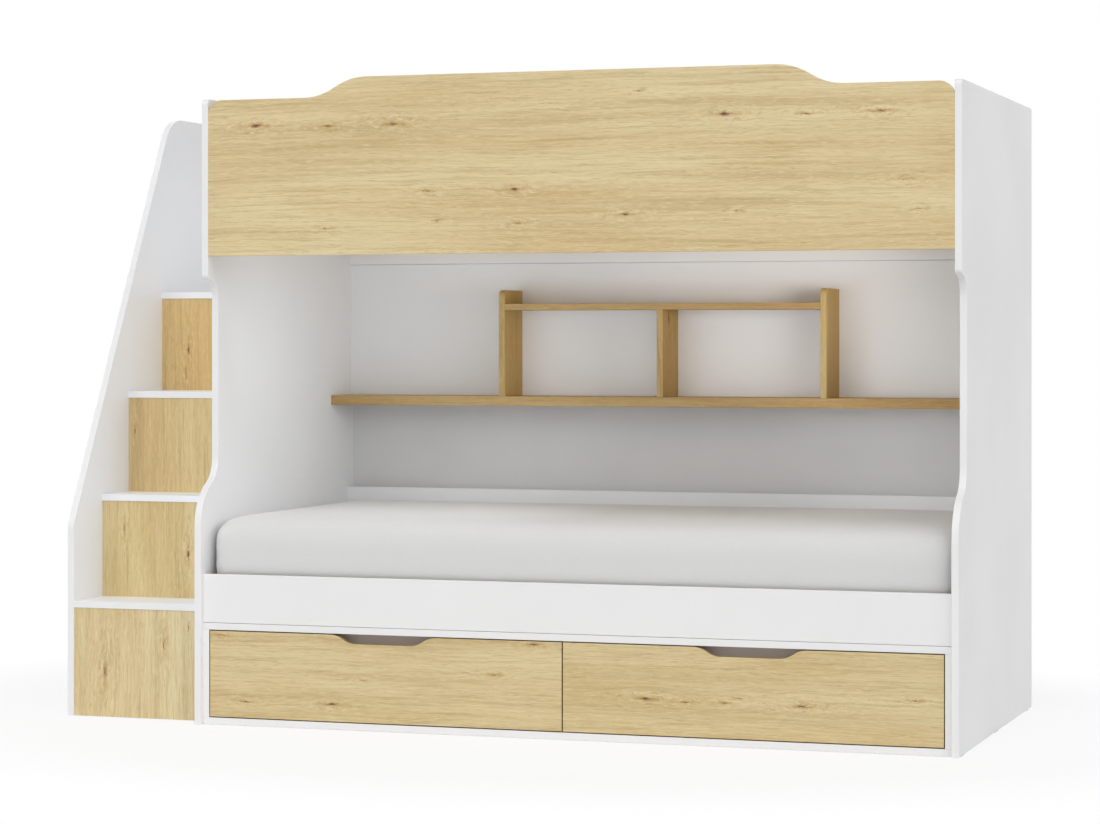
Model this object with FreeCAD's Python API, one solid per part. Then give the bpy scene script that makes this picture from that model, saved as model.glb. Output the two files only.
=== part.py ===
"""Bunk bed with storage.

Two beds stand one above the other between two tall end panels. Stairs climb the left end to the upper bed,
a shelf unit hangs over the lower bed, and a chest under the lower bed holds two drawers.
X runs along the bed, Y from the front to the wall and Z up from the floor. The origin is on the floor,
under the middle of the whole bed. Sizes are in millimetres.
"""
import FreeCAD, Part
import math
import os

Vector = FreeCAD.Vector

# Boards
board = 18.0
shelf_board = 28.0
drawer_board = 12.0
thin_sheet = 3.0
steel = 1.2
edge_break = 1.0

# Clearances
drawer_gap = 2.5
slide_play = 0.3
groove_play = 0.15
soft_play = 0.3
slat_play = 1.0

# End panels: the foot stands forward, the waist is drawn in and the head stands out again
bed_length = 2010.0
panel_depth = 1083.0
panel_height = 1665.0
panel_corner = 15.0
foot_height = 525.0
waist_setback = 110.0
waist_curve_height = 180.0
foot_curve_share = 0.64
head_setback = 46.0
head_drop = 49.0
head_curve_height = 66.0
head_curve_share = 0.8

# Entry from the stairs, cut down into the left end panel
entry_post = 83.0
entry_width = 400.0
entry_lift = 22.0
entry_sill_radius = 60.0
entry_lip_radius = 40.0
entry_sill_share = 0.5
entry_lip_share = 0.4

# Upper bed: oak guard board in front, plain guard board at the wall
deck_bottom = 1246.0
guard_drop = 4.0
guard_rise = 52.0
guard_rise_run = 177.0
guard_rise_reach = 640.0
guard_curve_share = 0.5
guard_corner = 40.0
rear_guard_step = 11.0

# Slats, the bearers under them and the mattresses on them
slat_count = 14
slat_width = 70.0
slat_thickness = 18.0
slat_end_gap = 30.0
bearer = 30.0
upper_slat_rise = 62.0
slat_recess = 28.0
lower_mattress_height = 186.0
upper_mattress_height = 160.0
mattress_end_gap = 5.0
mattress_side_gap = 12.0
mattress_corner = 50.0
mattress_foot_roll = 25.0
mattress_top_roll = 60.0
mattress_draw = 2.0
mattress_crown = 6.0
roll_steps = 4
crown_reach_shares = (0.1, 0.3)
crown_rise_shares = (0.6, 1.0)

# Back of the lower bed
back_recess = 5.0
panel_rebate = 1.5
panel_rebate_depth = 4.0
back_rail_height = 315.0
back_rail_stand_off = 40.0

# Drawer chest and the front rail on it
chest_setback = 15.0
drawer_opening = 233.0
finger_room = 30.0
rail_height = 129.0
rail_gap = 1.0

# Shelf unit over the lower bed
shelf_drop = 386.0
shelf_depth = 158.0
unit_width = 966.0
compartment_height = 248.0
upright_height = 306.0
upright_corner = 20.0

# Drawers and their telescopic runners
drawer_depth = 700.0
drawer_side_height = 170.0
drawer_lift = 14.0
groove_lift = 10.0
groove_depth = 6.0
grip_width = 296.0
grip_floor = 150.0
grip_depth = 23.0
grip_curve_share = 0.5
slide_length = 650.0
slide_height = 45.0
slide_thickness = 12.7
slide_lift = 60.0
slide_setback = 4.0

# Stairs
stair_width = 410.0
stair_setback = 68.0
first_rise = 313.0
rise = 282.0
lower_tread_run = 167.0
middle_tread_run = 161.0
upper_tread_run = 216.0
tread_setback = 2.0
nosing = 3.0
knee_height = 522.0
slope_run = 610.0
knee_radius = 40.0
crest_radius = 110.0
cleat = 20.0

# Floor glides
glide_height = 2.0
glide_width = 16.0
glide_length = 40.0
glide_inset = 60.0

same_point = 1e-6

# Places worked out from the sizes, first along the bed
left_face = -(stair_width + board + bed_length + board) / 2
bed_left = left_face + stair_width
inner_left = bed_left + board
inner_right = inner_left + bed_length
bed_middle = (inner_left + inner_right) / 2

# Places from front to back
front = -panel_depth / 2
back = panel_depth / 2
head_front = front + head_setback
guard_back = head_front + board
chest_front = front + chest_setback
rail_back = chest_front + board
sheet_back = back - back_recess
sheet_front = sheet_back - thin_sheet
panel_front = sheet_front - board
rear_guard_front = panel_front - rear_guard_step
back_rail_back = sheet_front - back_rail_stand_off
back_rail_front = back_rail_back - board
shelf_front = panel_front - shelf_depth
lowest_tread_front = front + stair_setback + tread_setback
second_tread_front = lowest_tread_front + lower_tread_run
third_tread_front = second_tread_front + middle_tread_run
landing_front = third_tread_front + upper_tread_run

# Places from the floor up
floor_clear = glide_height
base_top = floor_clear + board
opening_top = base_top + drawer_opening
chest_top_face = opening_top + board
rail_top = chest_top_face + rail_height
back_rail_top = chest_top_face + back_rail_height
guard_low_top = panel_height - guard_drop
upper_slat_bottom = deck_bottom + upper_slat_rise
upper_slat_top = upper_slat_bottom + slat_thickness
lower_slat_top = rail_top - slat_recess
lower_slat_bottom = lower_slat_top - slat_thickness
shelf_top_face = deck_bottom - shelf_drop
shelf_bottom_face = shelf_top_face - shelf_board
entry_sill = upper_slat_top + entry_lift


def slab(x, y, z):
    """Makes a box from its three (low, high) ranges."""
    return Part.makeBox(x[1] - x[0], y[1] - y[0], z[1] - z[0], Vector(x[0], y[0], z[0]))


def curve_corners(start, end, share, upright):
    """Gives the two rounded corners of an S-curve of two arcs that leave start and reach end in one direction.

    That direction is upright, or level where upright is false. share is the first arc's part of both radii.
    """
    across, along = abs(end[0] - start[0]), end[1] - start[1]
    if not upright:
        across, along = abs(end[1] - start[1]), end[0] - start[0]
    both_radii = (across ** 2 + along ** 2) / (2 * across)
    half_turn = math.acos(1 - across / both_radii) / 2
    radii = (both_radii * share, both_radii * (1 - share))
    steps = [math.copysign(radius * math.tan(half_turn), along) for radius in radii]
    if upright:
        return [(start[0], start[1] + steps[0], radii[0]), (end[0], end[1] - steps[1], radii[1])]
    return [(start[0] + steps[0], start[1], radii[0]), (end[0] - steps[1], end[1], radii[1])]


def rounded_wire(corners, place):
    """Makes a closed wire through corners (a, b, radius); place turns a pair (a, b) into a point."""
    points = [Vector(a, b, 0) for a, b, _ in corners]
    entries, exits, middles = [], [], []
    for index, (_, _, radius) in enumerate(corners):
        here = points[index]
        to_last = (points[index - 1] - here).normalize()
        to_next = (points[(index + 1) % len(points)] - here).normalize()
        half_angle = to_last.getAngle(to_next) / 2
        reach = radius / math.tan(half_angle)
        inward = (to_last + to_next).normalize()
        entries.append(here + to_last * reach)
        exits.append(here + to_next * reach)
        middles.append(here + inward * (radius / math.sin(half_angle) - radius))
    edges = []
    for index, (_, _, radius) in enumerate(corners):
        begin, end = exits[index - 1], entries[index]
        if (end - begin).Length > same_point:
            edges.append(Part.LineSegment(place(begin), place(end)).toShape())
        if radius > 0:
            arc = Part.Arc(place(end), place(middles[index]), place(exits[index]))
            edges.append(arc.toShape())
    return Part.Wire(edges)


def side_board(corners, x):
    """Cuts a board that stands across the bed: corners are (Y, Z, radius), x is its (low, high) range."""
    wire = rounded_wire(corners, lambda point: Vector(x[0], point.x, point.y))
    return Part.Face(wire).extrude(Vector(x[1] - x[0], 0, 0))


def front_board(corners, y):
    """Cuts a board that stands along the bed: corners are (X, Z, radius), y is its (low, high) range."""
    wire = rounded_wire(corners, lambda point: Vector(point.x, y[0], point.y))
    return Part.Face(wire).extrude(Vector(0, y[1] - y[0], 0))


def break_edges(solid, axis):
    """Chamfers the outline of a board on both of its broad faces; axis is the board's thickness direction."""
    heights = [vertex.Point.dot(axis) for vertex in solid.Vertexes]
    broad_faces = (min(heights), max(heights))
    outline = []
    for edge in solid.Edges:
        ends = [vertex.Point.dot(axis) for vertex in edge.Vertexes]
        if any(max(abs(end - face) for end in ends) < same_point for face in broad_faces):
            outline.append(edge)
    return solid.makeChamfer(edge_break, outline)


along_x = Vector(1, 0, 0)
along_y = Vector(0, 1, 0)
along_z = Vector(0, 0, 1)


def end_panel(x, has_entry):
    """Makes an end panel with its curved front edge, and the entry cut-out where the stairs arrive."""
    waist_front = front + waist_setback
    head_low = deck_bottom - head_drop
    waist = curve_corners(
        (front, foot_height), (waist_front, foot_height + waist_curve_height), foot_curve_share, True)
    head = curve_corners(
        (waist_front, head_low - head_curve_height), (head_front, head_low), head_curve_share, True)
    top = [(head_front, panel_height, panel_corner)]
    if has_entry:
        entry_back = back - entry_post
        entry_front = entry_back - entry_width
        entry_depth = panel_height - entry_sill
        lip_radius = min(entry_lip_radius, entry_depth * entry_lip_share)
        sill_radius = min(entry_sill_radius, entry_depth * entry_sill_share)
        top += [
            (entry_front, panel_height, lip_radius),
            (entry_front, entry_sill, sill_radius),
            (entry_back, entry_sill, sill_radius),
            (entry_back, panel_height, lip_radius),
        ]
    top.append((back, panel_height, panel_corner))
    foot = [(back, floor_clear, 0), (front, floor_clear, 0)]
    return break_edges(side_board(foot + waist + head + top, x), along_x)


def guard_board():
    """Makes the oak guard board, with its middle part raised between two S-curves."""
    high_top = guard_low_top + guard_rise
    half_run = guard_rise_run / 2
    rise_left = bed_middle - guard_rise_reach
    rise_right = bed_middle + guard_rise_reach
    climb = curve_corners(
        (rise_left - half_run, guard_low_top), (rise_left + half_run, high_top), guard_curve_share, False)
    descent = curve_corners(
        (rise_right - half_run, high_top), (rise_right + half_run, guard_low_top), guard_curve_share, False)
    corners = [(inner_right, deck_bottom, 0), (inner_left, deck_bottom, 0)]
    corners += [(inner_left, guard_low_top, guard_corner)] + climb
    corners += descent + [(inner_right, guard_low_top, guard_corner)]
    return break_edges(front_board(corners, (head_front, guard_back)), along_y)


def slats(y, bottom):
    """Makes a row of slats across the bed, evenly spaced between the end panels."""
    first = inner_left + slat_end_gap
    pitch = (bed_length - 2 * slat_end_gap - slat_width) / (slat_count - 1)
    row = []
    for index in range(slat_count):
        left = first + index * pitch
        slat = slab((left, left + slat_width), (y[0] + slat_play, y[1] - slat_play),
                    (bottom, bottom + slat_thickness))
        row.append(slat)
    return Part.makeCompound(row)


def bearers(y, top):
    """Makes the two battens that carry the slats, against the boards in front of and behind them."""
    length, height = (inner_left, inner_right), (top - bearer, top)
    return Part.makeCompound([
        slab(length, (y[0], y[0] + bearer), height),
        slab(length, (y[1] - bearer, y[1]), height),
    ])


def mattress_outline(x, y, height, inset):
    """Makes one level outline of a mattress, a rectangle with round corners, drawn in by inset."""
    corners = [(a, b, mattress_corner) for a, b in (
        (x[0] + inset, y[0] + inset), (x[1] - inset, y[0] + inset),
        (x[1] - inset, y[1] - inset), (x[0] + inset, y[1] - inset))]
    return rounded_wire(corners, lambda point: Vector(point.x, point.y, height))


def mattress(y, bottom, height):
    """Makes a mattress with rolled edges, sides drawn in at mid height and a crowned top."""
    x = (inner_left + mattress_end_gap, inner_right - mattress_end_gap)
    y = (y[0] + mattress_side_gap, y[1] - mattress_side_gap)
    width = y[1] - y[0]
    shoulder = bottom + height - mattress_crown
    turns = [step * math.pi / 2 / roll_steps for step in range(roll_steps + 1)]
    levels = []
    for turn in turns:
        lift = mattress_foot_roll * (1 - math.cos(turn))
        levels.append((bottom + lift, mattress_foot_roll * (1 - math.sin(turn))))
    levels.append(((bottom + mattress_foot_roll + shoulder - mattress_top_roll) / 2, mattress_draw))
    for turn in turns:
        drop = mattress_top_roll * (1 - math.sin(turn))
        levels.append((shoulder - drop, mattress_top_roll * (1 - math.cos(turn))))
    for reach_share, rise_share in zip(crown_reach_shares, crown_rise_shares):
        levels.append((shoulder + mattress_crown * rise_share, mattress_top_roll + width * reach_share))
    outlines = [mattress_outline(x, y, level, inset) for level, inset in levels]
    return Part.makeLoft(outlines, True, True)


def upright(left):
    """Makes one upright of the shelf unit, with its upper front corner rounded."""
    top = shelf_top_face + upright_height
    corners = [(panel_front, shelf_top_face, 0), (shelf_front, shelf_top_face, 0),
               (shelf_front, top, upright_corner), (panel_front, top, 0)]
    return break_edges(side_board(corners, (left, left + board)), along_x)


def channel(web, tip, middle, half_height, y):
    """Makes a steel channel: web and tip are the X of its back and of its flanges' free edges."""
    inward = math.copysign(steel, tip - web)
    z = (middle - half_height, middle + half_height)
    outer = slab((min(web, tip), max(web, tip)), y, z)
    hollow = (min(web + inward, tip), max(web + inward, tip))
    return outer.cut(slab(hollow, y, (z[0] + steel, z[1] - steel)))


def runner(wall, towards):
    """Makes one telescopic runner on a chest wall, as its chest, middle and drawer members.

    towards is +1 or -1, the way from the wall to the drawer.
    """
    y = (rail_back + slide_setback, rail_back + slide_setback + slide_length)
    middle = base_top + drawer_lift + slide_lift
    step = steel + slide_play
    flange_tip = wall + towards * (slide_thickness - step)
    half = slide_height / 2
    return [
        channel(wall, flange_tip, middle, half, y),
        channel(wall + towards * step, flange_tip, middle, half - step, y),
        channel(wall + towards * slide_thickness, wall + towards * 2 * step, middle, half - 2 * step, y),
    ]


def drawer_front(x):
    """Makes an oak drawer front with a grip cut-out in its upper edge and a groove for the drawer bottom."""
    z = (base_top + drawer_gap, opening_top - drawer_gap)
    grip_middle = (x[0] + x[1]) / 2
    grip_low = z[1] - grip_depth
    descent = curve_corners(
        (grip_middle - grip_width / 2, z[1]), (grip_middle - grip_floor / 2, grip_low), grip_curve_share, False)
    climb = curve_corners(
        (grip_middle + grip_floor / 2, grip_low), (grip_middle + grip_width / 2, z[1]), grip_curve_share, False)
    corners = [(x[1], z[0], 0), (x[0], z[0], 0), (x[0], z[1], 0)] + descent + climb + [(x[1], z[1], 0)]
    return break_edges(front_board(corners, (chest_front, rail_back)), along_y)


def drawer(name, bay, front_range):
    """Makes one drawer and its runners; bay is the X range between the chest walls on both sides of it."""
    box = (bay[0] + slide_thickness, bay[1] - slide_thickness)
    inside = (box[0] + drawer_board, box[1] - drawer_board)
    box_back = rail_back + drawer_depth
    box_bottom = base_top + drawer_lift
    box_top = box_bottom + drawer_side_height
    sheet_bottom = box_bottom + groove_lift
    sheet_top = sheet_bottom + thin_sheet
    sheet_x = (inside[0] - groove_depth, inside[1] + groove_depth)
    groove = slab((sheet_x[0] - groove_play, sheet_x[1] + groove_play),
                  (rail_back - groove_depth - groove_play, box_back),
                  (sheet_bottom - groove_play, sheet_top + groove_play))
    height = (box_bottom, box_top)
    depth = (rail_back, box_back)
    left, right = runner(bay[0], 1), runner(bay[1], -1)
    return {
        name + "_front": drawer_front(front_range).cut(groove),
        name + "_left_side": slab((box[0], inside[0]), depth, height).cut(groove),
        name + "_right_side": slab((inside[1], box[1]), depth, height).cut(groove),
        name + "_back": slab(inside, (box_back - drawer_board, box_back), (sheet_top + groove_play, box_top)),
        name + "_bottom": slab(sheet_x, (rail_back - groove_depth, box_back), (sheet_bottom, sheet_top)),
        name + "_chest_runners": Part.makeCompound([left[0], right[0]]),
        name + "_middle_runners": Part.makeCompound([left[1], right[1]]),
        name + "_box_runners": Part.makeCompound([left[2], right[2]]),
    }


def stair_side_panel():
    """Makes the outer side of the stairs: upright at the foot, then sloping back to a round crest."""
    foot_front = front + stair_setback
    corners = [(back, floor_clear, 0), (foot_front, floor_clear, 0), (foot_front, knee_height, knee_radius),
               (foot_front + slope_run, panel_height, crest_radius), (back, panel_height, panel_corner)]
    return break_edges(side_board(corners, (left_face, left_face + board)), along_x)


def stairs():
    """Makes the treads, risers, cleats and back sheet between the stairs' side and the left end panel."""
    x = (left_face + board, bed_left)
    pieces, cleats = {}, []
    tread_fronts = (lowest_tread_front, second_tread_front, third_tread_front, landing_front)
    riser_bottom = floor_clear
    for number, tread_front in enumerate(tread_fronts, start=1):
        riser_front = tread_front + nosing
        riser_back = riser_front + board
        tread_back = sheet_front
        if number < len(tread_fronts):
            tread_back = tread_fronts[number] + nosing + board
        tread_top = first_rise + rise * (number - 1)
        tread_z = (tread_top - board, tread_top)
        pieces[f"stair_tread_{number}"] = break_edges(slab(x, (tread_front, tread_back), tread_z), along_z)
        riser = slab(x, (riser_front, riser_back), (riser_bottom, tread_z[0]))
        pieces[f"stair_riser_{number}"] = riser
        for edge in ((x[0], x[0] + cleat), (x[1] - cleat, x[1])):
            cleats.append(slab(edge, (riser_back, tread_back), (tread_z[0] - cleat, tread_z[0])))
        riser_bottom = tread_top
    pieces["stair_cleats"] = Part.makeCompound(cleats)
    pieces["stair_back_panel"] = slab(x, (sheet_front, sheet_back), (floor_clear, tread_top))
    pieces["stair_side_panel"] = stair_side_panel()
    return pieces


def floor_glides():
    """Makes the flat glides under the stairs' side, the end panels and the middle of the chest."""
    lines = (
        (left_face + board / 2, front + stair_setback),
        (bed_left + board / 2, front),
        (bed_middle, chest_front),
        (inner_right + board / 2, front),
    )
    glides = []
    for x, line_front in lines:
        first, last = line_front + glide_inset, sheet_front - glide_inset
        for y in (first, (first + last) / 2, last):
            glides.append(slab((x - glide_width / 2, x + glide_width / 2),
                               (y - glide_length / 2, y + glide_length / 2), (0, glide_height)))
    return Part.makeCompound(glides)


def bed_frame():
    """Makes the end panels, guards, rails, backs, slats and mattresses."""
    length = (inner_left, inner_right)
    upper_deck = (guard_back, rear_guard_front)
    lower_deck = (rail_back, back_rail_front)
    rear_guard = slab(length, (rear_guard_front, rear_guard_front + board), (deck_bottom, guard_low_top))
    upper_panel = slab(length, (panel_front, sheet_front), (shelf_bottom_face, deck_bottom))
    rebate = slab(length, (panel_front, panel_front + panel_rebate_depth),
                  (deck_bottom - panel_rebate, deck_bottom))
    front_rail = slab(length, (chest_front, rail_back), (chest_top_face + rail_gap, rail_top))
    back_rail = slab(length, (back_rail_front, back_rail_back), (chest_top_face, back_rail_top))
    return {
        "left_end_panel": end_panel((bed_left, inner_left), True),
        "right_end_panel": end_panel((inner_right, inner_right + board), False),
        "guard_board": guard_board(),
        "rear_guard_board": break_edges(rear_guard, along_y),
        "upper_back_panel": upper_panel.cut(rebate),
        "lower_back_panel": slab(length, (sheet_front, sheet_back), (floor_clear, shelf_top_face)),
        "lower_front_rail": break_edges(front_rail, along_y),
        "lower_back_rail": break_edges(back_rail, along_y),
        "upper_slat_bearers": bearers(upper_deck, upper_slat_bottom),
        "upper_slats": slats(upper_deck, upper_slat_bottom),
        "upper_mattress": mattress(upper_deck, upper_slat_top + soft_play, upper_mattress_height),
        "lower_slat_bearers": bearers(lower_deck, lower_slat_bottom),
        "lower_slats": slats(lower_deck, lower_slat_bottom),
        "lower_mattress": mattress(lower_deck, lower_slat_top + soft_play, lower_mattress_height),
    }


def shelf_unit():
    """Makes the long oak shelf and the two-compartment unit that stands on it."""
    unit_left, unit_right = bed_middle - unit_width / 2, bed_middle + unit_width / 2
    depth = (shelf_front, panel_front)
    top_bottom = shelf_top_face + compartment_height
    long_shelf = slab((inner_left, inner_right), depth, (shelf_bottom_face, shelf_top_face))
    top_shelf = slab((unit_left + board, unit_right - board), depth, (top_bottom, top_bottom + board))
    divider = slab((bed_middle - board / 2, bed_middle + board / 2), depth, (shelf_top_face, top_bottom))
    return {
        "long_shelf": break_edges(long_shelf, along_z),
        "shelf_left_upright": upright(unit_left),
        "shelf_right_upright": upright(unit_right - board),
        "shelf_divider": break_edges(divider, along_x),
        "top_shelf": break_edges(top_shelf, along_z),
    }


def drawer_chest():
    """Makes the chest under the lower bed, and the two drawers in it."""
    length, depth = (inner_left, inner_right), (chest_front, sheet_front)
    height = (base_top, opening_top)
    left_wall, right_wall = inner_left + board, inner_right - board
    divider = (bed_middle - board / 2, bed_middle + board / 2)
    half_gap = drawer_gap / 2
    stretcher_depth = (rail_back + finger_room, rail_back + finger_room + board)
    stretcher_height = (base_top + drawer_lift + drawer_side_height + drawer_gap, opening_top)
    pieces = {
        "chest_base": break_edges(slab(length, depth, (floor_clear, base_top)), along_z),
        "chest_top": break_edges(slab(length, depth, (opening_top, chest_top_face)), along_z),
        "chest_left_side": slab((inner_left, left_wall), depth, height),
        "chest_right_side": slab((right_wall, inner_right), depth, height),
        "chest_divider": slab(divider, (rail_back + drawer_gap, sheet_front), height),
        "chest_stretchers": Part.makeCompound([
            slab((left_wall, divider[0]), stretcher_depth, stretcher_height),
            slab((divider[1], right_wall), stretcher_depth, stretcher_height),
        ]),
    }
    left_front = (left_wall + drawer_gap, bed_middle - half_gap)
    right_front = (bed_middle + half_gap, right_wall - drawer_gap)
    pieces.update(drawer("left_drawer", (left_wall, divider[0]), left_front))
    pieces.update(drawer("right_drawer", (divider[1], right_wall), right_front))
    return pieces


def build():
    """Makes every piece of the bed, by name."""
    pieces = {}
    for group in (bed_frame(), shelf_unit(), drawer_chest(), stairs()):
        pieces.update(group)
    pieces["floor_glides"] = floor_glides()
    return pieces


os.makedirs("parts", exist_ok=True)
for node, shape in build().items():
    shape.exportStep(f"parts/{node}.step")
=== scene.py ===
"""Looks of a bunk bed with storage: finishes, mattresses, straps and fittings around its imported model."""
import itertools
import logging
import math
from dataclasses import dataclass, field
from enum import Enum
from typing import Iterable, Self, Sequence

import bmesh
import bpy
from mathutils import Color, Matrix, Vector


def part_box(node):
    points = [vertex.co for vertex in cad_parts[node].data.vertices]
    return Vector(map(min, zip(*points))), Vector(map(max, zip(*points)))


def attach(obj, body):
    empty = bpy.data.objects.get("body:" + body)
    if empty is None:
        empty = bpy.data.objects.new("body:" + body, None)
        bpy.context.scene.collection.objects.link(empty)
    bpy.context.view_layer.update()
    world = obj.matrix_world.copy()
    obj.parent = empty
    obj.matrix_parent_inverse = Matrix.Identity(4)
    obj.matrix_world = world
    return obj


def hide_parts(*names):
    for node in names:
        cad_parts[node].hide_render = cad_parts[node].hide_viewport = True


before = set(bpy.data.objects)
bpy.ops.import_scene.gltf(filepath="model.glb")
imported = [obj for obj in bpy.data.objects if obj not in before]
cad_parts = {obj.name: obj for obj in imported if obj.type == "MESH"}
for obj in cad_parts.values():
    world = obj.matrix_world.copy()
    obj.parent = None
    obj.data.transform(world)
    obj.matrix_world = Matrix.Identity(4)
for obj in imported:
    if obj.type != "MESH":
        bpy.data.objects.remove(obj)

log = logging.getLogger("bunk_bed")

MILLIMETRE = 0.001
SAME_POINT = 0.01 * MILLIMETRE
FRAME_BODY = "frame"
STEEL_SLOT = "runner_steel"
FLOAT = "NodeSocketFloat"
VECTOR = "NodeSocketVector"
COLOUR = "NodeSocketColor"

Socket = bpy.types.NodeSocket
Form = bmesh.types.BMesh
Colour = tuple[float, float, float, float]
Triple = tuple[float, float, float]

PLAIN: Colour = (1.0, 1.0, 1.0, 1.0)
BLACK: Colour = (0.0, 0.0, 0.0, 1.0)


def colour(red: int, green: int, blue: int) -> Colour:
    """Turns a display colour with parts from 0 to 255 into the linear colour that a shader takes."""
    return (*Color((red / 255, green / 255, blue / 255)).from_srgb_to_scene_linear(), 1.0)


def evenly(start: float, end: float, gaps: int) -> list[float]:
    """Gives the places from start to end that leave a number of equal gaps."""
    return [start + (end - start) * index / gaps for index in range(gaps + 1)]


def inset(start: float, end: float, margin: float) -> tuple[float, float]:
    """Gives the two places that lie a margin inside a stretch."""
    return start + margin, end - margin


def middle_of(node: str) -> Vector:
    """Gives the middle of a CAD node's box."""
    low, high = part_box(node)
    return (low + high) / 2


class Graph:
    """Short calls that add nodes to one node tree and link them."""

    # A Mix node's sockets for colours go by number, because its other types have the same names.
    mix_in = (0, 6, 7)
    mix_out = 2

    def __init__(self, tree: bpy.types.NodeTree) -> None:
        """Keeps the tree that the nodes go into."""
        self.tree = tree

    @classmethod
    def blank(cls, owner: bpy.types.Material | bpy.types.World) -> Self:
        """Empties a material or a world.

        Args:
            owner: the material or world.

        Returns:
            The graph of its empty tree.
        """
        owner.use_nodes = True
        owner.node_tree.nodes.clear()
        return cls(owner.node_tree)

    def feed(self, target: Socket, value: object) -> None:
        """Links a socket to target, or sets a plain value on it.

        Args:
            target: the input socket.
            value: an output socket, a number, a vector or a colour.
        """
        if isinstance(value, Socket):
            self.tree.links.new(value, target)
        else:
            target.default_value = value

    def node(self, kind: str, inputs: dict | None = None, **settings: object) -> bpy.types.Node:
        """Adds a node.

        Args:
            kind: Blender's name of the node type.
            inputs: values or sockets by input name or number.
            **settings: properties of the node.

        Returns:
            The new node.
        """
        made = self.tree.nodes.new(kind)
        for name, value in settings.items():
            setattr(made, name, value)
        for key, value in (inputs or {}).items():
            self.feed(made.inputs[key], value)
        return made

    def math(self, operation: str, *values: object) -> Socket:
        """Adds a Math node and gives its result."""
        return self.node("ShaderNodeMath", dict(enumerate(values)), operation=operation).outputs[0]

    def times(self, first: object, second: object) -> Socket:
        """Multiplies two values and gives the result."""
        return self.math("MULTIPLY", first, second)

    def stretch(self, vector: Socket, scale: Triple) -> Socket:
        """Multiplies a vector by a scale along each axis and gives the result."""
        return self.node("ShaderNodeVectorMath", {0: vector, 1: scale}, operation="MULTIPLY").outputs[0]

    def noise(self, vector: Socket, scale: Triple, detail: float = 2.0, roughness: float = 0.5) -> Socket:
        """Adds a Noise texture with a scale along each axis and gives its factor."""
        values = {"Vector": self.stretch(vector, scale), "Scale": 1.0, "Detail": detail}
        return self.node("ShaderNodeTexNoise", values | {"Roughness": roughness}).outputs["Fac"]

    def span(self, value: object, low: float, high: float, start: float = 0.0, end: float = 1.0) -> Socket:
        """Maps a value from low and high to start and end, with smooth ends, and gives the result."""
        values = {"Value": value, "From Min": low, "From Max": high, "To Min": start, "To Max": end}
        return self.node("ShaderNodeMapRange", values, interpolation_type="SMOOTHSTEP").outputs["Result"]

    def mix(self, factor: object, first: object, second: object, blend: str = "MIX") -> Socket:
        """Mixes two colours and gives the result."""
        values = dict(zip(self.mix_in, (factor, first, second)))
        return self.node("ShaderNodeMix", values, data_type="RGBA", blend_type=blend).outputs[self.mix_out]

    def split(self, vector: Socket) -> list[Socket]:
        """Takes a vector apart and gives its three sockets."""
        return list(self.node("ShaderNodeSeparateXYZ", {0: vector}).outputs)

    def join(self, *parts: object) -> Socket:
        """Puts three values together and gives the vector."""
        return self.node("ShaderNodeCombineXYZ", dict(enumerate(parts))).outputs[0]

    def bell(self, value: object, width: object) -> Socket:
        """Gives exp(-(value / width) squared), a soft bump around zero."""
        share = self.math("DIVIDE", value, width)
        return self.math("EXPONENT", self.times(self.times(share, share), -1.0))

    def place(self) -> Socket:
        """Gives the Object coordinates."""
        return self.node("ShaderNodeTexCoord").outputs["Object"]


class Surface(Graph):
    """The graph of a material with one shader, and the coordinates that its patterns lie on."""

    def __init__(self, tree: bpy.types.NodeTree) -> None:
        """Adds the shader.

        Args:
            tree: the material's empty tree.
        """
        super().__init__(tree)
        shader = self.node("ShaderNodeBsdfPrincipled")
        self.node("ShaderNodeOutputMaterial", {"Surface": shader.outputs[0]})
        self.shader = shader.inputs
        self.spot = self.place()

    def set(self, values: dict[str, object]) -> None:
        """Sets or links inputs of the shader by name."""
        for name, value in values.items():
            self.feed(self.shader[name], value)

    def bump(self, height: Socket, depth: float) -> None:
        """Raises the surface by a height map, whose height of 1 is depth metres."""
        values = {"Strength": 1.0, "Distance": depth, "Height": height}
        self.set({"Normal": self.node("ShaderNodeBump", values).outputs[0]})


class SharedEffect(Graph):
    """A shader node group that is built once and placed in many materials."""

    name = "effect"
    inputs: dict[str, str] = {}
    outputs: dict[str, str] = {}

    def __init__(self) -> None:
        """Makes the group with its sockets, and fills it."""
        super().__init__(bpy.data.node_groups.new(self.name, "ShaderNodeTree"))
        for direction, sockets in (("INPUT", self.inputs), ("OUTPUT", self.outputs)):
            for name, kind in sockets.items():
                self.tree.interface.new_socket(name, in_out=direction, socket_type=kind)
        self.given = dict(self.node("NodeGroupInput").outputs.items())
        self.fill()

    def fill(self) -> None:
        """Builds the nodes of the group; each effect has its own."""
        raise NotImplementedError

    def give(self, **results: Socket) -> None:
        """Feeds the group's outputs by name."""
        self.node("NodeGroupOutput", results)

    def put_in(self, graph: Graph, values: dict[str, object]) -> dict[str, Socket]:
        """Puts the group into a material, with values by input name, and gives its outputs by name."""
        made = graph.node("ShaderNodeGroup", values, node_tree=self.tree)
        return dict(made.outputs.items())


class SurfaceTooth(SharedEffect):
    """The fine pearl of a pressed laminate or a moulding, and its faint unevenness of tone."""

    name = "surface_tooth"
    inputs = {"Vector": VECTOR}
    outputs = {"Height": FLOAT, "Tone": FLOAT}

    def fill(self) -> None:
        """Builds the pearl from fine noise and the tone from broad noise."""
        fine = self.noise(self.given["Vector"], (900.0, 900.0, 900.0))
        broad = self.noise(self.given["Vector"], (3.0, 3.0, 3.0), detail=3.0)
        self.give(Height=fine, Tone=self.span(broad, 0.3, 0.7))


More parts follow.
